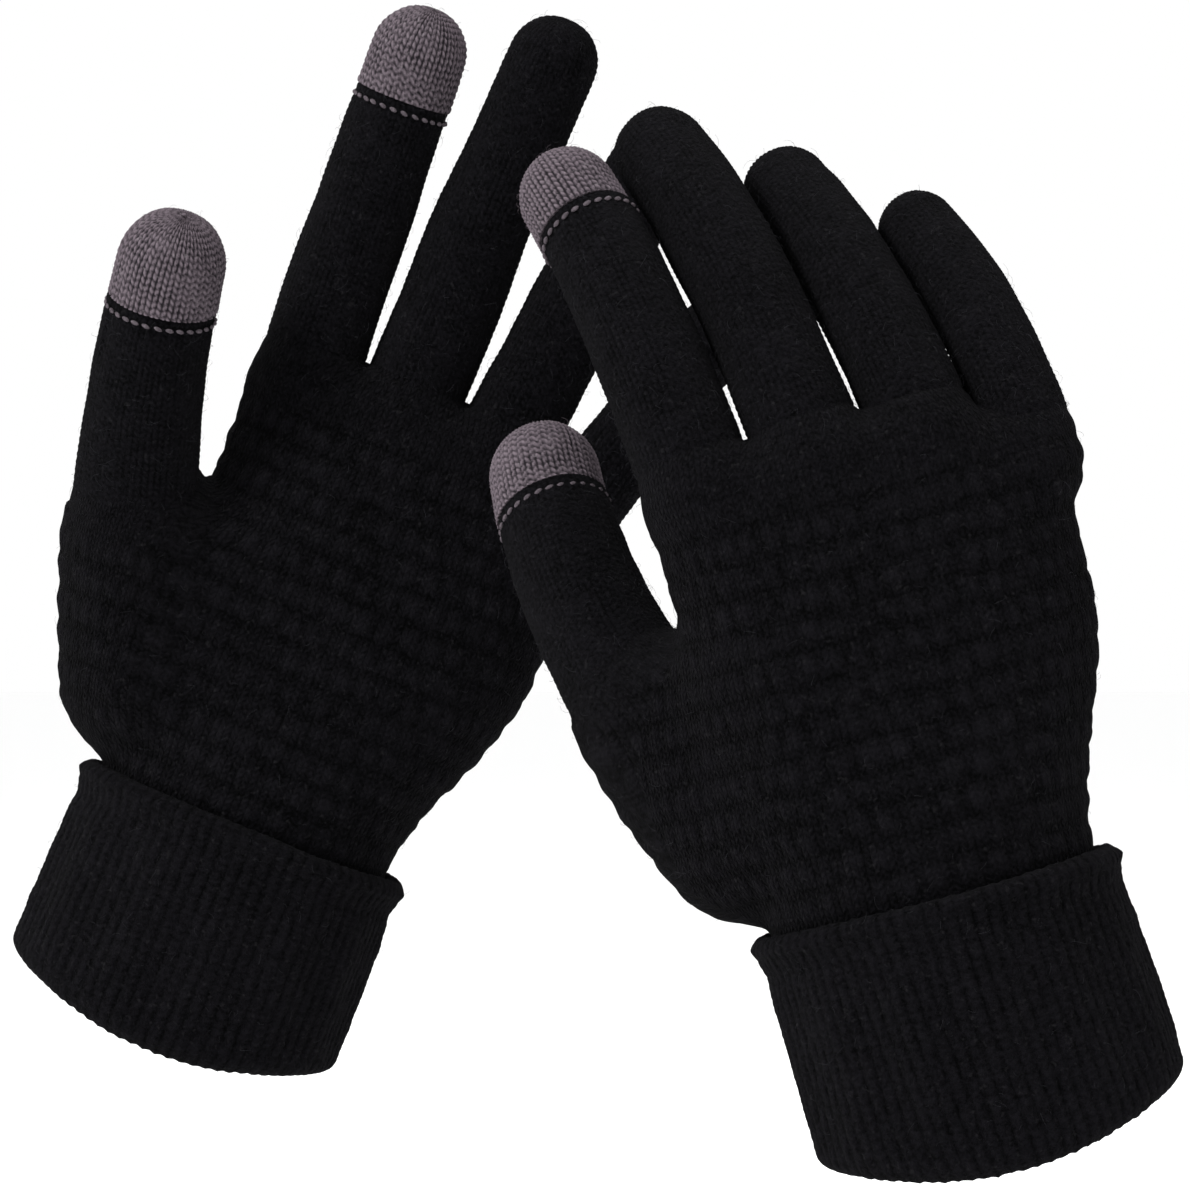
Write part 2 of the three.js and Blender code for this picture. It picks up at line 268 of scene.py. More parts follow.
def waffle(wale, course):
    """Raised blocks two stitches wide in rows 4.4 stitches high, each row half a block along from the one
    below. Height is a half wave over each row, times a wave across that is flat on its crests."""
    row = course / 4.4
    across = 0.5 + 0.5 * np.cos(TAU * (wale / 2 + 0.5 * np.floor(row)))
    up = 0.5 - 0.5 * np.cos(TAU * row)
    return up**0.55 * (0.4 + 0.6 * ease(across, 0.08, 0.6))


# ---- a stall's line ------------------------------------------------------------------------------
def heading(spread, curl):
    s, c = math.radians(spread), math.radians(curl)
    return np.array([math.sin(s) * math.cos(c), -math.sin(c), math.cos(s) * math.cos(c)])


class Stall:
    """A finger's tube round a cubic curve from its root to its tip. It runs straight on at both ends."""

    def __init__(self, name, size, posture):
        self.name, self.touch = name, name in TOUCH
        self.__dict__.update(size)
        self.radius = self.width / 2
        self.z = self.z - (0 if name == "thumb" else posture["cupped"])
        spread, curl = posture[name]
        first, last = heading(spread[0], curl[0]), heading(spread[1], curl[1])
        turn = math.acos(np.clip(first @ last, -1, 1))
        root = np.array([self.x, posture["thumb_y"] if name == "thumb" else 0.0, self.z])
        tip = root + unit(first + last) * self.length * (1 - turn * turn / 24)
        third = self.length / 3
        t = np.linspace(0, 1, 241)[:, None]
        knots = (root, root + first * third, tip - last * third, tip)
        shares = ((1 - t) ** 3, 3 * t * (1 - t) ** 2, 3 * t * t * (1 - t), t**3)
        curve = sum(w * k for w, k in zip(shares, knots))
        along = unit(np.gradient(curve, axis=0))
        along[0], along[-1] = first, last
        s = np.concatenate([[0], np.cumsum(np.linalg.norm(np.diff(curve, axis=0), axis=1))])
        far = 200
        self.s = np.concatenate([[-far], s, [s[-1] + far]])
        self.points = np.vstack([curve[0] - first * far, curve, curve[-1] + last * far])
        self.heads = np.vstack([first, along, last])
        self.palmward = np.array([0.5, -0.866, 0]) if name == "thumb" else np.array([0.0, -1, 0])

    def at(self, s):
        """Point, heading, flexing direction and sideways direction at s along the stall."""
        pick = lambda table: np.stack([np.interp(s, self.s, table[:, k]) for k in range(3)], -1)
        point, along = pick(self.points), unit(pick(self.heads))
        flex = unit(self.palmward - along * (along @ self.palmward)[..., None])
        return point, along, flex, np.cross(flex, along)

    def narrowing(self, s):
        return 1 - self.taper * np.clip(s / self.length, 0, 1)

    def distance(self, p):
        """How far p lies outside the stall's tube, and its way along it. The root ends in a dome."""
        s = (p - self.points[1]) @ self.heads[0]
        for _ in range(3):
            point, along, flex, across = self.at(s)
            s = s + np.einsum("ij,ij->i", p - point, along)
        point, along, flex, across = self.at(s)
        off = p - point
        x = np.einsum("ij,ij->i", off, across)
        y = np.einsum("ij,ij->i", off, flex) / STALL_FLATNESS
        behind = np.minimum(s - self.back, 0)
        return np.sqrt(x * x + y * y + behind * behind) - self.radius * self.narrowing(s), s


# ---- the hand's surface --------------------------------------------------------------------------
def hand_section(z):
    up, top = ease(z, 0, 50), ease(z, 45, HAND_LENGTH)
    wide = mix(WRIST_HALF[0], PALM_HALF[0], up)
    deep = mix(mix(WRIST_HALF[1], PALM_HALF[1], up), KNUCKLE_HALF_DEPTH, top)
    return wide, deep, PALM_OFFSET * up, mix(2, PALM_SQUARENESS, up)


def melt(a, b, width):
    """Smooth union: the smaller of two distances, with a fillet about as wide as width."""
    h = np.clip(0.5 + 0.5 * (b - a) / width, 0, 1)
    return mix(b, a, h) - width * h * (1 - h)


def hand_distance(p, stalls, cupped):
    """Distance outside the hand's fabric: the hand's tube, whose section is a superellipse, melted into
    the stalls' roots and the web between thumb and palm. The fingers' roots only touch each other."""
    x, y, z = p.T
    top = HAND_LENGTH - np.maximum(0, x - 22) * 0.52 - np.maximum(0, -x - 20) * 0.25 - cupped
    wide, deep, offset, power = hand_section(z)
    gx, gy = np.abs((x - offset) / wide) + 1e-6, np.abs(y / deep) + 1e-6
    g = (gx**power + gy**power) ** (1 / power)
    slope = g ** (1 - power) * np.hypot(gx ** (power - 1) / wide, gy ** (power - 1) / deep)
    body = (g - 1) / np.maximum(slope, 0.25 / deep)
    total = -melt(-body, top - z, 9)
    fingers = np.full(len(p), 60.0)
    for stall in stalls:
        near = np.abs(z - stall.z) < (60 if stall.name == "thumb" else 34)
        apart = np.full(len(p), 60.0)
        apart[near] = stall.distance(p[near])[0]
        if stall.name == "thumb":
            total = melt(melt(total, web_distance(p, stall), 7), apart, 7)
        else:
            fingers = np.minimum(fingers, apart)
    return melt(total, fingers, 5)


def web_distance(p, thumb):
    """Distance outside the thumb's web: a fan of round rods between the palm and the thumb's root."""
    roots = thumb.at(np.linspace(4, 35, 8))[0]
    palm = np.stack([np.full(8, -16.0), np.zeros(8), np.linspace(18, 46, 8)], -1)
    radii = thumb.radius * thumb.narrowing(np.linspace(4, 35, 8)) - 1
    total = np.full(len(p), 60.0)
    for a, b, r in zip(palm, roots, radii):
        t = np.clip((p - a) @ (b - a) / ((b - a) @ (b - a)), 0, 1)[:, None]
        total = melt(total, np.linalg.norm(p - a - t * (b - a), axis=1) - mix(14.0, r, t[:, 0]), 3)
    return total


def net(distance, low, high, step, level):
    """The surface distance = level as quads: one vertex in each cell of a cubic grid that the surface
    crosses, at the mean of its edges' crossings, and one quad across each crossed grid edge."""
    axes = [np.arange(a, b + step, step) for a, b in zip(low, high)]
    shape = tuple(len(a) for a in axes)
    coarse = [np.arange(a, b + COARSE_STEP + 1, COARSE_STEP) for a, b in zip(low, high)]
    spots = np.stack(np.meshgrid(*coarse, indexing="ij"), -1).reshape(-1, 3)
    rough = distance(spots).reshape([len(c) for c in coarse])
    nearest = [np.round((a - c[0]) / COARSE_STEP).astype(int) for a, c in zip(axes, coarse)]
    closest = np.ix_(*[np.clip(k, 0, len(c) - 1) for k, c in zip(nearest, coarse)])
    value = rough[closest] - level
    close = np.abs(value) < NEAR_SURFACE
    spots = np.argwhere(close) * step + np.array([a[0] for a in axes])
    parts = np.array_split(spots, 1 + len(spots) // 300000)
    value[close] = np.concatenate([distance(part) for part in parts]) - level
    inside = value < 0
    cells = tuple(n - 1 for n in shape)
    total, count = np.zeros(cells + (3,)), np.zeros(cells)
    corner = lambda block, c: block[tuple(slice(o, o + n) for o, n in zip(c, cells))]
    corners = [(i, j, k) for i in (0, 1) for j in (0, 1) for k in (0, 1)]
    for a in corners:
        for axis in range(3):
            if a[axis]:
                continue
            b = tuple(v + (k == axis) for k, v in enumerate(a))
            va, vb = corner(value, a), corner(value, b)
            crossed = corner(inside, a) != corner(inside, b)
            share = np.where(crossed, va / np.where(crossed, va - vb, 1), 0)
            for k in range(3):
                total[..., k] += crossed * (a[k] + (share if k == axis else 0))
            count += crossed
    used = count > 0
    number = np.full(cells, -1)
    number[used] = np.arange(used.sum())
    where = np.argwhere(used)
    vertices = (where + total[used] / count[used][:, None]) * step + np.array([a[0] for a in axes])
    faces = []
    for axis in range(3):
        one, two = (axis + 1) % 3, (axis + 2) % 3
        first = np.moveaxis(inside, (axis, one, two), (0, 1, 2))
        ids = np.moveaxis(number, (axis, one, two), (0, 1, 2))
        here, there = first[:-1, 1:-1, 1:-1], first[1:, 1:-1, 1:-1]
        i, j, k = np.nonzero(here != there)
        quad = np.stack([ids[i, j, k], ids[i, j + 1, k], ids[i, j + 1, k + 1], ids[i, j, k + 1]], -1)
        out = here[i, j, k]
        faces.append(np.where(out[:, None], quad, quad[:, ::-1]))
    return vertices, np.vstack(faces)


def slope_of(distance, p, h=0.25):
    """Unit normals: the distance's differences along each axis."""
    steps = np.eye(3) * h
    return unit(np.stack([distance(p + d) - distance(p - d) for d in steps], -1))


# ---- meshes --------------------------------------------------------------------------------------
class Shape:
    """Vertices, faces and, at each vertex, its place in the knitting and its height on the yarn, which also sets
    painted shade in the grooves.
    """

    def __init__(self):
        self.vertices, self.faces, self.stitch, self.crest, self.count = [], [], [], [], 0

    def add(self, vertices, faces, stitch=None, crest=None):
        vertices = np.asarray(vertices, float).reshape(-1, 3)
        self.vertices.append(vertices)
        self.faces.append(np.asarray(faces) + self.count)
        stitch = np.zeros((len(vertices), 2)) if stitch is None else stitch
        crest = np.full(len(vertices), 0.8) if crest is None else crest
        self.stitch.append(np.asarray(stitch, float).reshape(-1, 2))
        self.crest.append(np.asarray(crest, float).reshape(-1))
        self.count += len(vertices)


def ring_faces(rows, around, close=False):
    """Quads of a grid that closes on itself around, and also along its rows if close is set."""
    r = np.arange(rows if close else rows - 1)[:, None]
    c = np.arange(around)[None, :]
    nxt, right = (r + 1) % rows, (c + 1) % around
    corners = [r * around + c, r * around + right, nxt * around + right, nxt * around + c]
    return np.stack(corners, -1).reshape(-1, 4)


def fibres(points, normals, count, seed, long=3.2, thick=0.035):
    """Stray fibres: three-sided threads that leave the fabric and curve over along it."""
    rng = np.random.default_rng(seed)
    pick = rng.integers(0, len(points), count)
    n = normals[pick]
    sideways = unit(np.cross(n, rng.normal(size=(count, 3))))
    length = long * rng.uniform(0.35, 1.0, count) ** 1.6
    t = np.linspace(0, 1, 6)[None, :, None]
    bow = rng.uniform(0.3, 1.1, count)[:, None, None]
    reach = length[:, None, None]
    path = points[pick][:, None] + n[:, None] * (np.sin(t * 2.2) * 0.42 * reach - 0.25)
    path = path + sideways[:, None] * t**1.4 * reach * bow
    path = path + np.cross(n, sideways)[:, None] * np.sin(t * 3 + bow * 5) * 0.14 * reach
    a = np.arange(3) * TAU / 3
    second = np.cross(n, sideways)
    turn = n[:, None] * np.cos(a)[None, :, None] + second[:, None] * np.sin(a)[None, :, None]
    fine = thick * (1 - 0.6 * t[..., None])
    vertices = path[:, :, None] + turn[:, None] * fine
    faces = ring_faces(6, 3)
    every = (np.arange(count) * 18)[:, None, None] + faces[None]
    return vertices.reshape(-1, 3), every.reshape(-1, 4)


class Glove:
    """One glove: where its hand frame lies, its bodies and what it is made of."""

    def __init__(self, side):
        self.side, posture = side, POSTURES[side]
        a = math.radians(posture["lean"])
        c, s = math.cos(a), math.sin(a)
        self.axes = np.array([[c, 0, s], [0, -posture["palm"], 0], [-s, 0, c]])
        self.wrist = np.array(MOUTHS[side]) + self.axes @ [0, 0, CUFF_LENGTH]
        self.mirrored = posture["palm"] > 0
        self.drop = posture["drop"]  # how much further its cuff hangs
        self.skew = math.tan(math.radians(posture["skew"]))
        self.stalls = [Stall(name, size, posture) for name, size in STALLS.items()]
        self.seed = 11 if side == "left" else 47

    def name(self, what):
        return f"{self.side}_{what}"

    def place(self, p):
        """From the hand's frame in millimetres to the scene's in metres."""
        return (np.asarray(p) @ self.axes.T + self.wrist) / 1000

    def piece(self, name, shape, finish, slot, nodes=()):
        vertices = self.place(np.vstack(shape.vertices))
        quads = [f for f in shape.faces if f.shape[1] == 4]
        triangles = [f for f in shape.faces if f.shape[1] == 3]
        turn = -1 if self.mirrored else 1
        loops = [np.vstack(part)[:, ::turn].ravel() for part in (quads, triangles) if part]
        sizes = [np.full(sum(len(f) for f in part), n) for part, n in ((quads, 4), (triangles, 3)) if part]
        loops, sizes = np.concatenate(loops), np.concatenate(sizes)
        mesh = bpy.data.meshes.new(self.name(name))
        mesh.vertices.add(len(vertices))
        mesh.vertices.foreach_set("co", vertices.astype(np.float32).ravel())
        mesh.loops.add(len(loops))
        mesh.loops.foreach_set("vertex_index", loops.astype(np.int32))
        mesh.polygons.add(len(sizes))
        mesh.polygons.foreach_set("loop_start", np.concatenate([[0], np.cumsum(sizes)[:-1]]).astype(np.int32))
        mesh.polygons.foreach_set("use_smooth", np.ones(len(sizes), bool))
        mesh.update(calc_edges=True)
        uv = mesh.uv_layers.new(name="stitches")
        uv.data.foreach_set("uv", np.vstack(shape.stitch)[loops].astype(np.float32).ravel())
        # the crest attribute: height on the yarn, which the finishes turn into painted shade in the grooves and a
        # painted highlight on stray fibres
        crest = mesh.attributes.new("crest", "FLOAT", "POINT")
        crest.data.foreach_set("value", np.concatenate(shape.crest).astype(np.float32))
        mesh.validate()
        made = bpy.data.objects.new(self.name(name), mesh)
        bpy.context.collection.objects.link(made)
        mesh.materials.append(finish)
        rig.slot(made, slot)
        if nodes:
            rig.replaces(made, *[self.name(n) for n in nodes])
        return made


# ---- the pieces ----------------------------------------------------------------------------------
def hand_stitches(p):
    """Where p lies in the hand's knitting, in stitches across and rows up. Stitches are counted along x,
    and along |y| where the surface turns away at the sides, outwards on both sides."""
    x, y, z = p.T
    return (x - 0.7 * np.abs(y) * np.clip(x / 35, -1, 1)) / 0.75 / WALE, z / COURSE


def hand(glove):
    """The hand: the outer surface with its waffle pattern, and the fabric's smooth inner surface."""
    cupped = POSTURES[glove.side]["cupped"]
    distance = lambda p: hand_distance(p, glove.stalls, cupped)
    shape = Shape()
    low, high = (-66, -52, -10), (58, 26, 110)
    for level, step in ((0.0, NET_STEP), (-FABRIC, INNER_STEP)):
        p, faces = net(distance, low, high, step, level)
        outer = level == 0
        for _ in range(2):
            n = slope_of(distance, p)
            p = p - n * np.clip(distance(p) - level, -step, step)[:, None]
        keep = p[:, 2] > -CUFF_OVERLAP
        wale, course = hand_stitches(p)
        plain = ease(p[:, 2], 87 - cupped, 81 - cupped)
        sunk = np.zeros(len(p))
        for stall in glove.stalls:
            apart, s = stall.distance(p)
            keep &= ~((np.abs(apart - level) < 0.35) & (s > stall.tube + (2.2 if outer else 5)))
            keep &= ~((s > stall.start + 8) & (apart < (0.9 if stall.name == "thumb" else 2)))
            sunk = np.maximum(sunk, ease(s, stall.tube - 1, stall.tube + 2.2) * (apart < 1))
            if stall.name == "thumb":
                plain = plain * np.where(apart < 4, ease(s, 40, 33), 1)
        w = wale + 0.2 * wander(wale * 0.16, course * 0.1, glove.seed)
        c = course + 0.4 * wander(wale * 0.12, course * 0.06, glove.seed + 1)
        cells = waffle(w, c)
        cells = cells + 0.3 * wander(wale * 1.7, course * 0.9, glove.seed + 2) * (0.4 + cells)
        plain = plain * ease(np.sqrt(1 - n[:, 2] ** 2), 0.45, 0.85)
        height = mix(PLAIN_HEIGHT, WAFFLE_HEIGHT * cells, plain)
        height = height + 0.14 * wander(p[:, 0] * 0.9, p[:, 2] * 0.9 + p[:, 1], glove.seed + 5)
        height = height + 0.35 * wander(p[:, 0] * 0.06, p[:, 2] * 0.055 + p[:, 1] * 0.06, glove.seed + 3)
        # painted shade: a lower crest between the waffle blocks, which the finish darkens
        crest = np.clip(mix(0.5, 0.15 + 0.65 * cells, plain), 0, 1.1)
        if outer:
            edge = ease(p[:, 2], -CUFF_OVERLAP, 2)
            p = p + n * (mix(height - 0.35, -0.45, sunk) * edge)[:, None]
        else:
            faces = faces[:, ::-1]
        whole = keep[faces].all(1)
        faces = faces[whole]
        used, back = np.unique(faces, return_inverse=True)
        shape.add(p[used], back.reshape(faces.shape), np.stack([wale, course], -1)[used], crest[used])
        if outer:
            fluff = fibres(p[used], n[used], 500, glove.seed + 4)
            shape.add(*fluff, crest=np.full(len(fluff[0]), FIBRE_HIGHLIGHT))
    made = glove.piece("hand_knit", shape, BLACK_WAFFLE, "black_waffle_knit", ["hand"])
    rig.ride(made, glove.name("hand"))


def stall_rows(stall, start, end, step, dome):
    """A stall's profile by its own length: place along the line, share of the radius, and the lean of its
    surface, which turns from 0 on the tube to a right angle at the middle of the rounded end."""
    if not dome:
        s = np.linspace(start, end, max(2, round((end - start) / step) + 1))
        return s, np.ones_like(s), np.zeros_like(s), s
    radius = stall.radius * stall.narrowing(end)
    straight = end - radius
    tube = np.linspace(start, straight, max(2, round((straight - start) / step) + 1))
    lean = np.linspace(0, math.pi / 2, round(radius * 1.45 / step) + 2)[1:-1]
    s = np.concatenate([tube, straight + radius * np.sin(lean)])
    share = np.concatenate([np.ones_like(tube), np.cos(lean) ** 0.86])
    lean = np.concatenate([np.zeros_like(tube), lean])
    return s, share, lean, np.concatenate([tube, straight + radius * lean[len(tube):]])


def stall_shape(glove, stall, start, end, dome, tuck=False, high=JERSEY_HEIGHT, seed=0, proud=0.0):
    """A closed wall of knitting along a stall: an outer grid raised in stitches, a smooth inner grid and a
    rim at each open end. A point is line(s) + radius (across cos a + back sin a) + height along the
    surface's own normal."""
    shape = Shape()
    around = stall.wales * PER_STITCH
    a = np.arange(around) * TAU / around
    sets = []
    for inner in (False, True):
        fine = not inner
        cols = a if fine else a[::PER_STITCH]
        last = end - (FABRIC if inner and dome else 0)
        s, share, lean, v = stall_rows(stall, start, last, COURSE / 4 if fine else 3.0, dome)
        point, along, flex, across = stall.at(s)
        radius = (stall.radius - (0.25 if fine else FABRIC)) * stall.narrowing(s) * share
        ring = across[:, None] * np.cos(cols)[None, :, None]
        ring = ring - flex[:, None] * (np.sin(cols) * STALL_FLATNESS)[None, :, None]
        wale = np.broadcast_to(cols * stall.wales / TAU, (len(s), len(cols)))
        course = np.broadcast_to((v / COURSE)[:, None], wale.shape)
        normal = unit(ring) * np.cos(lean)[:, None, None] + along[:, None] * np.sin(lean)[:, None, None]
        p = point[:, None] + ring * radius[:, None, None]
        crest = np.full(wale.shape, 0.4)
        if fine:
            w = wale + 0.1 * wander(wale * 0.5, course * 0.3, seed)
            c = course + 0.25 * wander(wale * 0.35, course * 0.2, seed + 1)
            # the jersey heights raise the stitches and, as painted shade, darken their grooves
            crest = jersey(w, c)
            loose = 0.32 * wander(cols[None] * 1.1, v[:, None] * 0.09, seed + 2)
            loose = loose + 0.1 * wander(wale, course * 0.6, seed + 3)
            height = high * crest + loose * np.cos(lean)[:, None] + proud
            if tuck:
                height = height - 0.28 * (1 - ease(v, start, start + 3.0))[:, None]
            p = p + normal * height[..., None]
        sets.append((p, wale, course, crest, normal))
    for inner, (p, wale, course, crest, normal) in enumerate(sets):
        rows, columns = wale.shape
        faces = ring_faces(rows, columns)
        first = shape.count
        shape.add(p, faces if not inner else faces[:, ::-1], np.stack([wale, course], -1), crest)
        if dome:
            pole = p[-1].mean(0)
            last = first + (rows - 1) * columns
            c = np.arange(columns)
            fan = np.stack([last + c, last + (c + 1) % columns, np.full(columns, shape.count)], -1)
            shape.vertices.append(pole[None])
            shape.stitch.append(np.zeros((1, 2)))
            shape.crest.append(np.array([0.5]))
            shape.count += 1
            shape.faces.append(fan if not inner else fan[:, ::-1])
    outer, inner = sets[0][0], sets[1][0]
    for at_end in ([0] if dome else [0, -1]):
        rim_out, rim_in = outer[at_end], np.repeat(inner[at_end], PER_STITCH, axis=0)
        faces = ring_faces(2, len(rim_out))
        faces = faces if at_end == 0 else faces[:, ::-1]
        shape.add(np.vstack([rim_in, rim_out]), faces, crest=np.full(2 * len(rim_out), 0.3))
    flat = sets[0][0].reshape(-1, 3), sets[0][4].reshape(-1, 3)
    return shape, flat


def seam_stitches(stall, s, count, seed):
    """A row of short bars of grey yarn round a stall: each is a flattened round bead along the row."""
    shape = Shape()
    point, along, flex, across = (v[0] for v in stall.at(np.array([s])))
    radius = stall.radius * stall.narrowing(s)
    rng = np.random.default_rng(seed)
    u = np.linspace(0, 1, 9)
    bead = np.sin(np.clip(u, 0.02, 0.98) * math.pi) ** 0.45
    ring = np.arange(8) * TAU / 8
    for k in range(count):
        a = (k + 0.5 + rng.uniform(-0.08, 0.08)) * TAU / count
        a = a + (u - 0.5) * (TAU / count) * rng.uniform(0.66, 0.76)
        tilt = rng.uniform(0.15, 0.4) * (u - 0.5)
        outward = across * np.cos(a)[:, None] - flex * (np.sin(a) * STALL_FLATNESS)[:, None]
        centre = point + outward * (radius + 0.12) + along * tilt[:, None]
        thick = bead[:, None, None]
        p = centre[:, None] + outward[:, None] * (np.cos(ring) * 0.42)[None, :, None] * thick
        p = p + along * (np.sin(ring) * 0.46)[None, :, None] * thick
        # painted shade: each bar is darker towards its thin ends
        shape.add(p, ring_faces(9, 8)[:, ::-1], crest=np.full(72, 0.85) * np.repeat(0.75 + 0.25 * bead, 8))
        for end, way in ((0, 1), (8, -1)):
            c = np.arange(8)
            fan = np.stack([end * 8 + c, end * 8 + (c + 1) % 8, np.full(8, 72 + (end > 0))], -1)
            shape.faces.append((fan[:, ::way] + shape.count - (72 if end == 0 else 73)))
            shape.vertices.append(p[end].mean(0)[None])
            shape.stitch.append(np.zeros((1, 2)))
            shape.crest.append(np.array([0.6]))
            shape.count += 1
    return shape


def stall_pieces(glove, stall, seed):
    name, hand_body = stall.name, glove.name("hand")
    lower_body, upper_body = glove.name(name + "_lower"), glove.name(name + "_upper")
    metres = lambda s: tuple(glove.place(stall.at(np.array([s]))[0][0]))
    parts = (
        ("lower", stall.tube, stall.part, True),
        ("upper", stall.part, stall.length - TIP_LENGTH if stall.touch else stall.length, False),
    )
    for which, start, end, tuck in parts:
        dome = which == "upper" and not stall.touch
        shape, skin = stall_shape(glove, stall, start, end, dome, tuck, seed=seed)
        fluff = fibres(*skin, 170, seed + 20 + (which == "upper"))
        shape.add(*fluff, crest=np.full(len(fluff[0]), FIBRE_HIGHLIGHT))
        made = glove.piece(f"{name}_{which}_knit", shape, BLACK_PLAIN, "black_plain_knit", [f"{name}_{which}"])
        if which == "lower":
            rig.blend(made, hand_body, lower_body, metres(stall.start - 5), metres(stall.start + 7))
        else:
            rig.blend(made, lower_body, upper_body, metres(stall.bend - 9), metres(stall.bend + 9))
    if stall.touch:
        edge = stall.length - TIP_LENGTH
        tip, skin = stall_shape(
            glove, stall, edge, stall.length, True, high=TIP_HEIGHT, seed=seed + 7, proud=0.05
        )
        fluff = fibres(*skin, 60, seed + 30)
        tip.add(*fluff, crest=np.full(len(fluff[0]), 1.0))
        made = glove.piece(f"{name}_tip_knit", tip, GREY_TIP, "grey_conductive_knit", [f"{name}_tip"])
        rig.ride(made, upper_body)
        row = seam_stitches(stall, stall.length - TIP_LENGTH - 2.3, stall.wales, seed + 8)
        made = glove.piece(f"{name}_tip_stitches", row, GREY_STITCH, "grey_stitching", [f"{name}_tip_seam"])
        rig.ride(made, upper_body)


def cuff_profile():
    """The cuff's section as one closed path of [distance in from the outer surface, height]: up the
    outside, over the rolled edge, down into the slot, up to the wrist layer's end, down the inside and
    round the fold."""
    slot_out, slot_in = RIB_FABRIC, RIB_FABRIC + CUFF_SLOT
    inside = slot_in + RIB_FABRIC
    bottom, fold = -CUFF_LENGTH, inside / 2
    turns = lambda a, b, n: np.radians(np.linspace(a, b, n))
    arc = lambda cx, cz, rx, rz, *t: np.stack([cx - rx * np.cos(turns(*t)), cz + rz * np.sin(turns(*t))], -1)
    line = lambda a, b, n: np.linspace(a, b, n + 2)[1:-1]
    outside = line((0, bottom + fold), (0, -3.6), 86)
    welt = arc(1.0, -1.9, 1.9, 1.9, -40, 180, 16)
    down = line((2.75, -3.2), (slot_out, bottom + RIB_FABRIC + 1), 7)
    cup = arc((slot_out + slot_in) / 2, bottom + RIB_FABRIC + 1, -CUFF_SLOT / 2, -1, 0, 180, 5)
    up = line((slot_in, bottom + RIB_FABRIC + 1), (slot_in, -9), 7)
    end = arc((slot_in + inside) / 2, -8.6, RIB_FABRIC / 2, 1.1, 0, 180, 6)
    back = line((inside, -9), (inside, bottom + fold), 30)
    turn = arc(fold, bottom + fold, fold, fold, 180, 360, 16)
    return np.vstack([outside, welt, down, cup, up, end, back, turn])


def cuff(glove):
    """The ribbed cuff: the section above carried round an oval that flares and sags towards the fold.
    The ribs are |cos|^0.7 waves along the surface's normal, broken into stitches by their rows, over
    broad soft flutes. The welt is a swell by the rolled edge, with a dip below it."""
    section = cuff_profile()
    columns = RIBS * PER_STITCH
    a = np.arange(columns) * TAU / columns
    ahead = np.roll(section, -1, 0) - np.roll(section, 1, 0)
    lean = unit(np.stack([ahead[:, 1], -ahead[:, 0]], -1))  # outward, away from the path's inside
    way = np.concatenate([[0], np.cumsum(np.linalg.norm(np.diff(section, axis=0), axis=1))])
    inward, z = section[:, :1], section[:, 1:]
    down = np.clip(-z / CUFF_LENGTH, 0, 1)
    flare = CUFF_FLARE * down
    rib_at = a * RIBS / TAU
    rib_at = rib_at[None] + 0.5 * wander(a[None] * 3, z * 0.03, glove.seed + 60)
    rib = np.abs(np.cos(math.pi * rib_at)) ** 0.7
    side = np.abs(rib_at - np.floor(rib_at) - 0.5) * 2
    rows = 0.5 + 0.5 * np.cos(TAU * (way[:, None] / COURSE + 0.45 * side))
    flutes = 0.55 * np.cos(13 * a + 0.7 * wander(a * 2, 0 * a, glove.seed + 61))[None] * ease(down, 0.02, 0.5)
    flutes = flutes + 0.5 * wander(a[None] * 3.1, z * 0.07, glove.seed + 62)
    outer_share = ease(inward, 6.9, 3.0)
    height = 0.3 * (rib - 0.75) + 0.1 * (rows - 0.5) * rib
    height = height + flutes * outer_share * 0.8 * ease(1 - down, 0, 0.25)
    height = height + 0.12 * wander(a[None] * 60, z * 1.3, glove.seed + 64)
    hx, hy = CUFF_HALF
    across = unit(np.stack([np.cos(a) / hx, np.sin(a) / hy], -1))
    welt = 0.65 * np.exp(-(((z + 3.4) / 2.0) ** 2)) - 0.35 * np.exp(-(((z + 7.4) / 1.6) ** 2))
    reach = -inward + flare + outer_share * welt
    x = np.cos(a)[None] * (hx + reach) + across[None, :, 0] * (height * lean[:, :1])
    y = np.sin(a)[None] * (hy + reach) + across[None, :, 1] * (height * lean[:, :1])
    front = np.abs(np.sin(a))[None] ** 2
    zz = z + height * lean[:, 1:] - CUFF_SAG * down**2 * front - glove.drop * down
    x = x - zz * glove.skew
    p = np.stack([x, y, zz + 0 * x], -1)
    outward = [across[None, :, 0] * lean[:, :1], across[None, :, 1] * lean[:, :1], lean[:, 1:] + 0 * x]
    outward = np.stack(outward, -1)
    # painted shade: darker between the ribs and their rows of stitches
    crest = np.clip(rib * (0.55 + 0.45 * rows), 0, 1)
    shape = Shape()
    stitch = np.stack([rib_at + 0 * x, way[:, None] / COURSE + 0 * x], -1)
    shape.add(p, ring_faces(len(section), columns, close=True), stitch, crest)
    shown = slice(0, 110)  # the turned-back layer, both its faces and the rolled edge
    fluff = fibres(p[shown].reshape(-1, 3), unit(outward[shown]).reshape(-1, 3), 420, glove.seed + 63)
    shape.add(*fluff, crest=np.full(len(fluff[0]), FIBRE_HIGHLIGHT))
    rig.ride(glove.piece("cuff_rib", shape, BLACK_RIB, "black_rib_knit", ["cuff"]), glove.name("hand"))


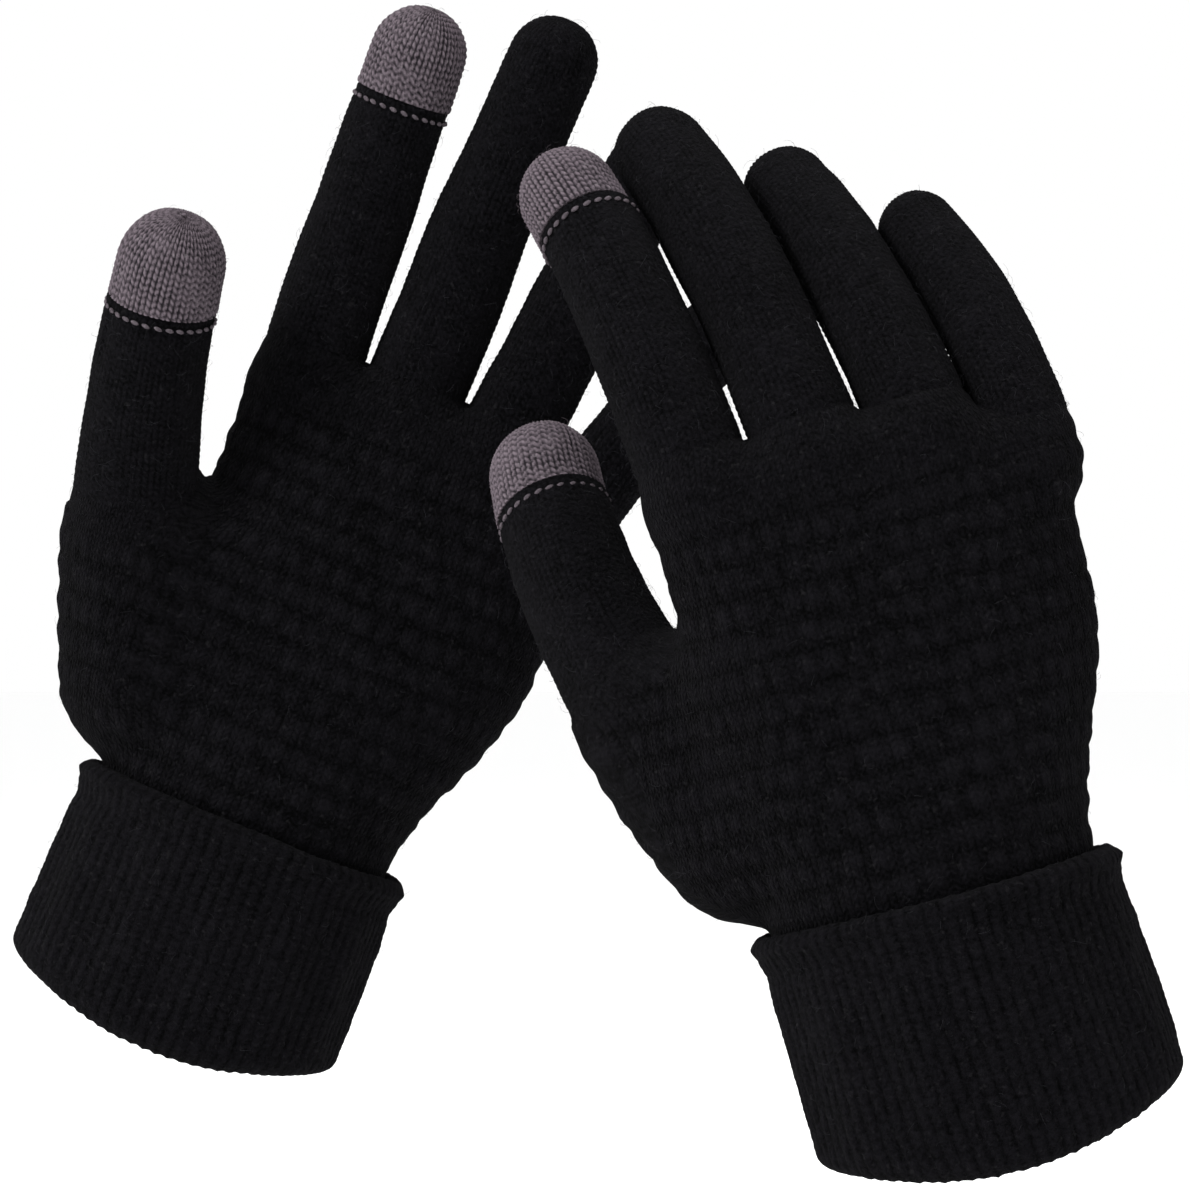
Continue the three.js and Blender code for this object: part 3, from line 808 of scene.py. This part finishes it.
# ---- finishes ------------------------------------------------------------------------------------
class Term:
    """A shader value that can be written in sums: each operator adds one Math node."""

    def __init__(self, finish, socket):
        self.finish, self.socket = finish, socket

    def _math(self, operation, *terms):
        return self.finish.node("ShaderNodeMath", dict(operation=operation), *terms)

    def __add__(self, other):
        return self._math("ADD", self, other)

    def __sub__(self, other):
        return self._math("SUBTRACT", self, other)

    def __rsub__(self, other):
        return self._math("SUBTRACT", other, self)

    def __mul__(self, other):
        return self._math("MULTIPLY", self, other)

    def __pow__(self, other):
        return self._math("POWER", self, other)

    __radd__, __rmul__ = __add__, __mul__

    def part(self):
        return self._math("FRACT", self)

    def size(self):
        return self._math("ABSOLUTE", self)

    def wave(self):
        """0 to 1 and back, once for each 1 of the value."""
        return self._math("COSINE", self * TAU) * 0.5 + 0.5


class Finish:
    def __init__(self, name, **steady):
        self.material = bpy.data.materials.new(name)
        self.material.use_nodes = True
        self.tree = self.material.node_tree
        self.shader = self.tree.nodes["Principled BSDF"]
        for socket, value in steady.items():
            self.shader.inputs[socket.replace("_", " ")].default_value = value

    def node(self, kind, settings, *inputs, out=0, **named):
        made = self.tree.nodes.new(kind)
        for key, value in settings.items():
            if key == "stops":
                for stop, (position, colour) in zip(made.color_ramp.elements, value):
                    stop.position, stop.color = position, colour
            else:
                setattr(made, key, value)
        for key, value in list(enumerate(inputs)) + [(k.replace("_", " "), v) for k, v in named.items()]:
            if isinstance(value, Term):
                self.tree.links.new(value.socket, made.inputs[key])
            else:
                made.inputs[key].default_value = value
        return Term(self, made.outputs[out])

    def feed(self, socket, term):
        self.tree.links.new(term.socket, self.shader.inputs[socket])


def yarn(name, groove_shade, crest, heather, stitches=0.0, groove_shade_share=0.6, fuzz=2.0, rough=0.95, sheen=0.008):
    """Knitted yarn: painted shade darkens its grooves and its crests are lighter, mottled from fibre to fibre, with
    the twist of the yarn and, where stitches is set, the rows of stitches as fine relief and as painted shade between
    them. Stray fibres get a painted highlight."""
    f = Finish(name, Roughness=rough, Sheen_Weight=sheen, Sheen_Roughness=0.6, Specular_IOR_Level=0.008)
    place = f.node("ShaderNodeTexCoord", {}, out=3)
    shade_and_highlight_key = f.node("ShaderNodeAttribute", dict(attribute_name="crest"), out=2)
    fine = f.node("ShaderNodeTexNoise", {}, Vector=place, Scale=1500.0, Detail=4.0, Roughness=0.7)
    clumps = f.node("ShaderNodeTexNoise", {}, Vector=place, Scale=480.0, Detail=2.0)
    broad = f.node("ShaderNodeTexNoise", {}, Vector=place, Scale=60.0, Detail=2.0)
    relief = fine * 1.6 + clumps
    # painted shade: a low crest attribute darkens the grooves of the yarn and the knitting
    level = shade_and_highlight_key * groove_shade_share + (fine - 0.5) * fuzz + (clumps - 0.5) * (0.4 * fuzz)
    level = level + (broad - 0.5) * 0.4 + (0.5 - groove_shade_share * 0.5)
    if stitches:
        uv = f.node("ShaderNodeUVMap", dict(uv_map="stitches"))
        x = f.node("ShaderNodeSeparateXYZ", {}, uv, out=0)
        y = f.node("ShaderNodeSeparateXYZ", {}, uv, out=1)
        side = (x.part() - 0.5).size() * 2
        rows = (y - side * 0.75).wave()
        stitch = (1 - (side * 2 - 1).size() ** 2.4) * (rows * 0.75 + 0.25)
        relief = relief + stitch * stitches
        # painted shade in the grooves between the stitches' rows
        level = level + (stitch - 0.5) * 0.3
    # the ramp runs from the painted groove shade to the crests' own colour
    ramp = f.node("ShaderNodeValToRGB", dict(stops=((0.05, (*groove_shade, 1)), (1.0, (*crest, 1)))), level)
    fleck = f.node("ShaderNodeTexNoise", {}, Vector=place, Scale=900.0, Detail=1.0)
    fleck_mask = f.node("ShaderNodeMapRange", {}, Value=fleck, From_Min=0.64, From_Max=0.8)
    colour = f.node("ShaderNodeMixRGB", {}, Fac=fleck_mask * 0.5, Color1=ramp, Color2=(*heather, 1))
    # painted highlight: stray fibres, marked by a crest past 1.2, take a lighter colour
    stray_highlight = f.node("ShaderNodeMapRange", {}, Value=shade_and_highlight_key, From_Min=1.2, From_Max=1.35)
    colour = f.node("ShaderNodeMixRGB", {}, Fac=stray_highlight, Color1=colour, Color2=(*STRAY_HIGHLIGHT, 1))
    f.feed("Base Color", colour)
    bump = f.node("ShaderNodeBump", {}, Strength=0.9, Distance=0.0005, Height=relief)
    f.feed("Normal", bump)
    return f.material


# Each yarn's colours: the painted shade in its grooves, its crests' own colour and its heather flecks.
BLACK = (0.0004, 0.0004, 0.0005), (0.0046, 0.0043, 0.0054), (0.012, 0.0115, 0.0125)
STRAY_HIGHLIGHT = (0.03, 0.03, 0.034)  # painted highlight: the stray fibres are coloured lighter for the light they catch
BLACK_PLAIN = yarn("black plain knit", *BLACK)
BLACK_WAFFLE = yarn("black waffle knit", *BLACK, stitches=0.8)
BLACK_RIB = yarn("black rib knit", *BLACK)
GREY = (0.014, 0.012, 0.014), (0.135, 0.110, 0.127), (0.2, 0.175, 0.19)
GREY_TIP = yarn("grey conductive knit", *GREY, groove_shade_share=1.25, fuzz=1.1)
GREY_STITCH = yarn("grey stitching", (0.03, 0.025, 0.029), (0.1, 0.084, 0.095), (0.18, 0.16, 0.17))
ELASTIC = yarn("covered elastic", (0.004, 0.004, 0.004), (0.02, 0.02, 0.021), (0.03, 0.03, 0.03))

for side in POSTURES:
    glove = Glove(side)
    hand(glove)
    cuff(glove)
    for number, stall in enumerate(glove.stalls):
        stall_pieces(glove, stall, glove.seed + 100 * (number + 1))
    elastic = frame["nodes"][glove.name("cuff_elastic")]
    elastic.data.materials.clear()
    elastic.data.materials.append(ELASTIC)

# ---- floor, light and camera ---------------------------------------------------------------------
floor_mesh = bpy.data.meshes.new("floor")
FLOOR_Z = -0.075
FLOOR_HALF = 9
corners = [(x * FLOOR_HALF, y * FLOOR_HALF, FLOOR_Z) for x, y in ((-1, -1), (1, -1), (1, 1), (-1, 1))]
floor_mesh.from_pydata(corners, [], [(0, 1, 2, 3)])
floor = bpy.data.objects.new("floor", floor_mesh)
bpy.context.collection.objects.link(floor)
pale = Finish("pale floor", Roughness=0.9, Specular_IOR_Level=0.1)
pale.shader.inputs["Base Color"].default_value = (0.985, 0.985, 0.985, 1)
floor_mesh.materials.append(pale.material)
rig.stage(floor)

world = bpy.data.worlds.new("pale room")
world.use_nodes = True
world.node_tree.nodes["Background"].inputs[0].default_value = (1, 1, 1, 1)
world.node_tree.nodes["Background"].inputs[1].default_value = 1.0
bpy.context.scene.world = world


def softbox(name, at, towards, size, watts):
    light = bpy.data.lights.new(name, "AREA")
    light.shape, light.size, light.energy = "SQUARE", size, watts
    lamp = bpy.data.objects.new(name, light)
    lamp.location = at
    lamp.rotation_euler = (Vector(towards) - Vector(at)).to_track_quat("-Z", "Y").to_euler()
    bpy.context.collection.objects.link(lamp)


MIDDLE = (0.085, -0.05, 0.09)
softbox("key", (-0.8, -0.8, 0.95), MIDDLE, 0.4, 24)
softbox("fill", (0.9, -0.8, 0.5), MIDDLE, 0.8, 3)
softbox("top", (0.0, 0.3, 1.2), MIDDLE, 0.8, 8)

bpy.context.scene.view_settings.view_transform = "Standard"

camera = bpy.data.objects.new("camera", bpy.data.cameras.new("camera"))
camera.data.lens, camera.data.sensor_width = 175.4, 36
camera.location = (0.089, -1.222, 0.086)
camera.rotation_euler = (math.pi / 2, 0, 0)
bpy.context.collection.objects.link(camera)
bpy.context.scene.camera = camera

boxes = {"cad": cad_box, "visual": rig.bounds()}
with open("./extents.json", "w") as out:
    json.dump({k: [[float(v) for v in corner] for corner in b] for k, b in boxes.items()}, out)
